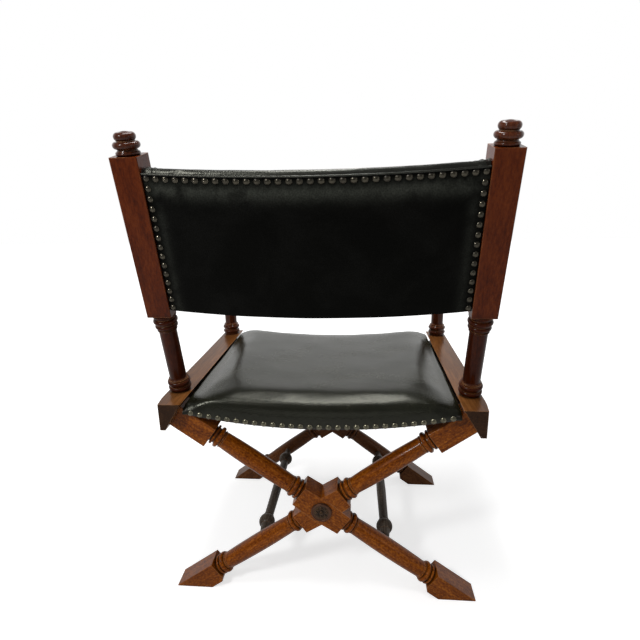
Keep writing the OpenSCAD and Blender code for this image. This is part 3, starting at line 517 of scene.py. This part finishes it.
def puff(piece, pressure, cap):
    """Swells a pad with Cloth, moving no point by more than cap, and applies it."""
    start = [point.co.copy() for point in piece.data.vertices]
    cloth = piece.modifiers.new("puff", "CLOTH")
    cloth.settings.quality = 5
    cloth.settings.mass = 0.25
    cloth.settings.tension_stiffness = 18
    cloth.settings.compression_stiffness = 18
    cloth.settings.bending_stiffness = 1.2
    cloth.settings.use_pressure = True
    cloth.settings.uniform_pressure_force = pressure
    cloth.settings.effector_weights.gravity = 0
    cloth.settings.vertex_group_mass = "held"
    cloth.collision_settings.use_collision = False
    cloth.point_cache.frame_start = 1
    cloth.point_cache.frame_end = PUFF_FRAMES
    for step in range(1, PUFF_FRAMES + 1):
        bpy.context.scene.frame_set(step)
    ready = piece.evaluated_get(bpy.context.evaluated_depsgraph_get())
    swelled = [point.co.copy() for point in ready.data.vertices]
    piece.modifiers.remove(cloth)
    bpy.context.scene.frame_set(1)
    for point, a, b in zip(piece.data.vertices, start, swelled):
        move = b - a
        if move.length > cap:
            move = move.normalized() * cap
        point.co = a + move


def ease(piece, rounds, level_only=False):
    """Softens the ridges of a pad, least where it is held; level_only leaves its outline from above."""
    modify(piece, "SMOOTH", factor=0.5, iterations=rounds, vertex_group="held", invert_vertex_group=True,
           use_x=not level_only, use_y=not level_only)


def shape_points(piece, move):
    """Moves every point by what move(place, normal) gives."""
    mesh = piece.data
    shifts = [move(point.co, point.normal) for point in mesh.vertices]
    for point, shift in zip(mesh.vertices, shifts):
        point.co += shift
    mesh.update()


def nail_tree(places):
    """Finds the nail nearest to a place."""
    tree = kdtree.KDTree(len(places))
    for i, place in enumerate(places):
        tree.insert(place, i)
    tree.balance()
    return tree


def mark_nails(piece, tree, reach):
    """Keeps on each point how near it is to a nail, for the finish."""
    near = piece.data.attributes.new("near_nail", "FLOAT", "POINT")
    for i, point in enumerate(piece.data.vertices):
        away = tree.find(point.co)[2]
        near.data[i].value = clamp(1 - (away - NAIL_R * 0.8) / reach)


def finish_piece(piece, finish):
    """Gives a leather piece its finish and its place in the table."""
    piece.data.materials.clear()
    piece.data.materials.append(finishes[finish])
    only(piece)
    bpy.ops.object.shade_smooth_by_angle(angle=math.radians(40))
    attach(piece, "root")


# Camera, solved from the photograph
yaw, pitch, roll = -0.0851, -0.2654, -0.0177
SENSOR = 36
FOCAL_PIXELS = 458.6
PHOTO_PIXELS = 640
place = Vector((-0.0677, RAIL_REAR + 0.7273, RAIL_TOP + 0.3573))
forward = Vector((-math.sin(yaw) * math.cos(pitch), -math.cos(yaw) * math.cos(pitch), math.sin(pitch)))
level = Vector((-math.cos(yaw), math.sin(yaw), 0))
up = level.cross(forward)
across = math.cos(roll) * level + math.sin(roll) * up
upright = -math.sin(roll) * level + math.cos(roll) * up
bpy.ops.object.camera_add()
camera = bpy.context.object
camera.name = "camera"
camera.matrix_world = Matrix.Translation(place) @ Matrix((across, upright, -forward)).transposed().to_4x4()
camera.data.sensor_width = SENSOR
camera.data.lens = FOCAL_PIXELS / PHOTO_PIXELS * SENSOR
bpy.context.scene.camera = camera

# Seat leather, drawn over its foam and nailed
SEAT_REACH = 0.0022
SEAT_LIFT = 0.0055
SEAT_LEATHER_T = 0.0012
seat_tree = nail_tree(list(seat_nail_places(SEAT_HIGH.y)) + list(seat_nail_places(SEAT_LOW.y)))


def seat_held(place, normal):
    """Firm near the nails and along the lower edges, free on the cushion's top."""
    low = place.z - seat_arc(place.x)
    if low < 0.003 or normal.z < -0.4:
        return 1.0
    near = seat_tree.find(place)[2]
    return clamp(max(1 - (near - 0.003) / 0.005, 1 - (low - 0.003) / 0.006))


def corner_held(place, normal):
    """Free on the top of the cushion's four corners only."""
    beside = clamp((abs(place.x) - SEAT_HALF + 0.13) / 0.04)
    from_middle = abs(place.y - (SEAT_LOW.y + SEAT_HIGH.y) / 2)
    return 1.0 if normal.z < 0.7 else 1 - beside * clamp((from_middle - 0.08) / 0.05)


seat = outer_form("seat_leather", ["seat_cover", "seat_foam", "seat_board"], 0.005)
hold(seat, lambda place, normal: 1.0 if normal.z < 0.6 else 0.0)
ease(seat, 140, level_only=True)
hold(seat, seat_held)
ease(seat, 5)
puff(seat, 4.0, 0.003)
ease(seat, 10)
hold(seat, corner_held)
ease(seat, 45, level_only=True)
pick(seat, lambda place, normal: normal.z < -0.6 and place.z < seat_arc(place.x) + 0.006)
bpy.ops.mesh.delete(type="FACE")
done()
modify(seat, "SUBSURF", levels=1, render_levels=1)
mark_nails(seat, seat_tree, 0.012)


def seat_pull(place, normal):
    """Nails draw the leather in, small creases run up from them to the rolled edge, the sides reach
    out to the rails, and the cushion stands up above its edge."""
    away = seat_tree.find(place)[2]
    dent = -0.0007 * max(0.0, 1 - away / 0.011)
    low = place.z - seat_arc(place.x)
    crease = 0.0
    if abs(normal.y) > 0.3:
        fade = max(0.0, 1 - abs(low - 0.012) / 0.022)
        crease = 0.00045 * fade * noise.noise(Vector((place.x * 95, 0, place.z * 14)))
    broad = 0.0006 * noise.noise(place * 16)
    share = clamp((abs(place.x) - SEAT_HALF + 0.018) / 0.014) ** 2
    wall = clamp(1 - (low - 0.018) / 0.010)
    out = math.copysign(max(0.0, SEAT_HALF + SEAT_REACH - abs(place.x)) * share * wall, place.x)
    lift = SEAT_LIFT * clamp((low - 0.005) / 0.010)
    return normal * (dent + crease + broad) + Vector((out, 0, lift))


shape_points(seat, seat_pull)
modify(seat, "SOLIDIFY", thickness=SEAT_LEATHER_T, offset=-1.0)
finish_piece(seat, "seat_hide")
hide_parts("seat_cover", "seat_foam")

# Back pad, seen from the front and over its top edge
ROLL_LIFT = 0.0024
PAD_LEATHER_T = 0.0010
pad = outer_form("back_pad_leather", ["back_front_cover", "back_foam", "back_board"], 0.0033)


def on_panel(x):
    """The nearest x on the width of the back panel."""
    return max(-PANEL_HALF, min(PANEL_HALF, x))


def pad_held(place, normal):
    """Firm against the board and beside the posts."""
    local = unraked(place)
    behind = bow_at(on_panel(local.x), BOW_R) - local.y
    edge = PANEL_HALF - abs(local.x)
    return clamp(max(1 - behind / 0.012, 1 - edge / 0.006))


hold(pad, pad_held)
puff(pad, 4.0, 0.004)


def at_board(place, normal):
    """The rear of the pad's form, which the board fills."""
    local = unraked(place)
    lean = normal.y * math.cos(RAKE) - normal.z * math.sin(RAKE)
    behind = bow_at(on_panel(local.x), BOW_R) - local.y
    return lean > 0.8 and behind < 0.004 and local.z < SEAM_H - dip_at(local.x) - 0.002


pick(pad, at_board)
bpy.ops.mesh.delete(type="FACE")
done()


def pad_swell(place, normal):
    """The top roll stands a little proud, with small gathers near its ends."""
    local = unraked(place)
    above = local.z - (SEAM_H - dip_at(on_panel(local.x)))
    lift = ROLL_LIFT * clamp((above + 0.002) / 0.006)
    end = max(0.0, 1 - (PANEL_HALF - abs(local.x)) / 0.035)
    gather = 0.0011 * end * math.sin(local.x * 620 + local.y * 90)
    grain = 0.0004 * noise.noise(place * 30)
    return normal * (grain + gather * (above > -0.01)) + Vector((0, 0, lift))


shape_points(pad, pad_swell)
modify(pad, "SOLIDIFY", thickness=PAD_LEATHER_T, offset=-1.0)
finish_piece(pad, "pad_hide")
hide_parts("back_front_cover", "back_foam")

# Outer leather of the back, nailed to the board
LOW_H = PANEL_FROM
TOP_H = SEAM_H - WELT_R
OUTER_LEATHER_T = 0.0014
bpy.ops.object.select_all(action="DESELECT")
bpy.ops.mesh.primitive_grid_add(x_subdivisions=168, y_subdivisions=76, size=1, location=(0, 0, 0))
outer = bpy.context.object
outer.name = outer.data.name = "back_outer_leather"


def onto_back(place, normal):
    """Lays the flat leather on the bowed board, between its dipping edges."""
    x = place.x * 2 * PANEL_HALF
    share = place.y + 0.5
    h = LOW_H + share * (TOP_H - LOW_H) - dip_at(x)
    return raked(x, bow_at(x, OUTER_R) - 0.0002, h) - place


shape_points(outer, onto_back)
only(outer)
bpy.ops.object.mode_set(mode="EDIT")
bpy.ops.mesh.select_all(action="SELECT")
bpy.ops.mesh.normals_make_consistent(inside=False)
done()
if outer.data.polygons[0].normal.y < 0:
    outer.data.flip_normals()
back_tree = nail_tree(list(back_nail_places()))
mark_nails(outer, back_tree, 0.011)


def outer_held(place, normal):
    """Firm at the nails and along the edges."""
    local = unraked(place)
    near = back_tree.find(place)[2]
    edge = min(PANEL_HALF - abs(local.x), TOP_H - dip_at(local.x) - local.z,
               local.z - (LOW_H - dip_at(local.x)))
    return clamp(max(1 - (near - 0.0045) / 0.004, 1 - (edge - 0.002) / 0.002))


hold(outer, outer_held)
puff(outer, 3.0, 0.0022)


def outer_pull(place, normal):
    """Nails draw the leather in, and it lies in low waves between them."""
    local = unraked(place)
    away = back_tree.find(place)[2]
    dent = -0.0006 * max(0.0, 1 - away / 0.010)
    inner = min(PANEL_HALF - abs(local.x), TOP_H - dip_at(local.x) - local.z, 0.08) / 0.08
    wave = 0.0009 * noise.noise(Vector((local.x * 17, local.z * 9, 3.1))) * max(0.0, inner)
    near_edge = max(0.0, 1 - abs(inner - 0.25) * 3)
    ray = 0.0004 * noise.noise(Vector((local.x * 80, local.z * 16, 7.7))) * near_edge
    return normal * (dent + wave + ray)


shape_points(outer, outer_pull)
# Painted sheen: how much the leather is paled below the top nails and, less, beside the side nails.
worn = outer.data.attributes.new("worn", "FLOAT", "POINT")
for i, point in enumerate(outer.data.vertices):
    local = unraked(point.co)
    below = TOP_H - dip_at(local.x) - NAIL_EDGE - local.z
    beside = PANEL_HALF - NAIL_R - abs(local.x)
    at_top = math.exp(-((below - 0.014) / 0.014) ** 2)
    at_side = 0.35 * math.exp(-((beside - 0.012) / 0.009) ** 2)
    worn.data[i].value = 0.0 if below < 0 else max(at_top, at_side)
modify(outer, "SOLIDIFY", thickness=OUTER_LEATHER_T, offset=-1.0)
finish_piece(outer, "back_hide")
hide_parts("back_outer_cover")

# Piping along the seam of the back
bpy.ops.object.select_all(action="DESELECT")
bpy.ops.mesh.primitive_cylinder_add(vertices=12, radius=WELT_R, depth=2 * PANEL_HALF - 0.001,
                                    location=(0, 0, 0), rotation=(0, math.radians(90), 0))
welt = bpy.context.object
welt.name = welt.data.name = "back_piping"
bpy.ops.object.transform_apply(location=True, rotation=True, scale=True)
bpy.ops.object.mode_set(mode="EDIT")
bpy.ops.mesh.select_mode(type="EDGE")
bpy.ops.mesh.select_all(action="DESELECT")
mesh = bmesh.from_edit_mesh(welt.data)
for edge in mesh.edges:
    if abs(edge.verts[0].co.x - edge.verts[1].co.x) > 0.1:
        edge.select_set(True)
bmesh.update_edit_mesh(welt.data)
bpy.ops.mesh.subdivide(number_cuts=150)
done()


def along_seam(place, normal):
    """Bends the straight piping round the back and lets it swell a little between its stitches."""
    x = place.x
    swell = 1 + 0.10 * math.sin(x * 900) + 0.12 * noise.noise(Vector((x * 60, 5, 1)))
    return raked(x, bow_at(x, OUTER_R) + WELT_R - LEATHER_T / 2 + place.y * swell,
                 SEAM_H - dip_at(x) + place.z * swell) - place


shape_points(welt, along_seam)
finish_piece(welt, "pad_hide")
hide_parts("back_welt")

# Floor, light and background
FLOOR_IN_GLOSS = 0.35
FILL = 0.27


def seen_rays(f, in_gloss):
    """1 for what the camera sees straight, in_gloss for what gloss and glass show, 0 for the light
    that falls on the chair."""
    shown = f.add("ShaderNodeLightPath", out="Is Glossy Ray").math(
        "MAXIMUM", f.add("ShaderNodeLightPath", out="Is Transmission Ray"))
    return f.add("ShaderNodeLightPath", out="Is Camera Ray").math("MAXIMUM", shown * in_gloss)


bpy.ops.object.select_all(action="DESELECT")
bpy.ops.mesh.primitive_plane_add(size=14, location=(0, 0, 0))
floor = bpy.context.object
floor.name = "floor"
f = Finish(bpy.data.materials.new("pale_floor"))
seen = seen_rays(f, FLOOR_IN_GLOSS)
away = f.add("ShaderNodeVectorMath", {"operation": "LENGTH"}, {0: f.places()}, out="Value")
glow = f.mix(away.band(0.5, 1.6), (0.66, 0.66, 0.66), (1, 1, 1))
grain = f.noise(f.places(), 3.0, 2, 0.5)
floor.data.materials.append(f.close(
    Base_Color=f.mix(grain, (0.64, 0.64, 0.64), (0.68, 0.68, 0.68)), Roughness=0.7, Specular_IOR_Level=0.2,
    Emission_Color=f.mix(seen, (0, 0, 0), glow), Emission_Strength=1.0))

studio = bpy.data.worlds.new("studio")
bpy.context.scene.world = studio
f = Finish(studio)
towards = f.add("ShaderNodeTexCoord", out="Generated")
overhead = f.part(towards, "Z").band(0.40, 0.68)
behind = f.part(towards, "Y").band(-0.25, 0.5)
seen = seen_rays(f, (1 - overhead * 0.72) * (1 - behind * 0.72))
sky = f.add("ShaderNodeBackground", {}, {"Color": (1, 1, 1), "Strength": seen.math("MAXIMUM", FILL)})
f.add("ShaderNodeOutputWorld", {}, {"Surface": sky})


def softbox(name, place, aim, width, height, power):
    """A flat lamp at a place, turned to its aim."""
    bpy.ops.object.light_add(type="AREA", location=place)
    lamp = bpy.context.object
    lamp.name = name
    lamp.data.shape = "RECTANGLE"
    lamp.data.size = width
    lamp.data.size_y = height
    lamp.data.energy = power
    lamp.rotation_euler = (Vector(aim) - Vector(place)).to_track_quat("-Z", "Y").to_euler()


softbox("overhead", (0.15, 0.0, 2.2), (0, 0.05, 0.4), 1.5, 0.26, 28)
softbox("left_of_camera", (0.95, 1.25, 1.5), (0.05, 0.15, 0.5), 0.24, 0.3, 14)
softbox("right_of_camera", (-2.2, 1.4, 1.2), (0, 0.1, 0.4), 0.8, 1.0, 3)

bpy.context.scene.view_settings.view_transform = "Standard"
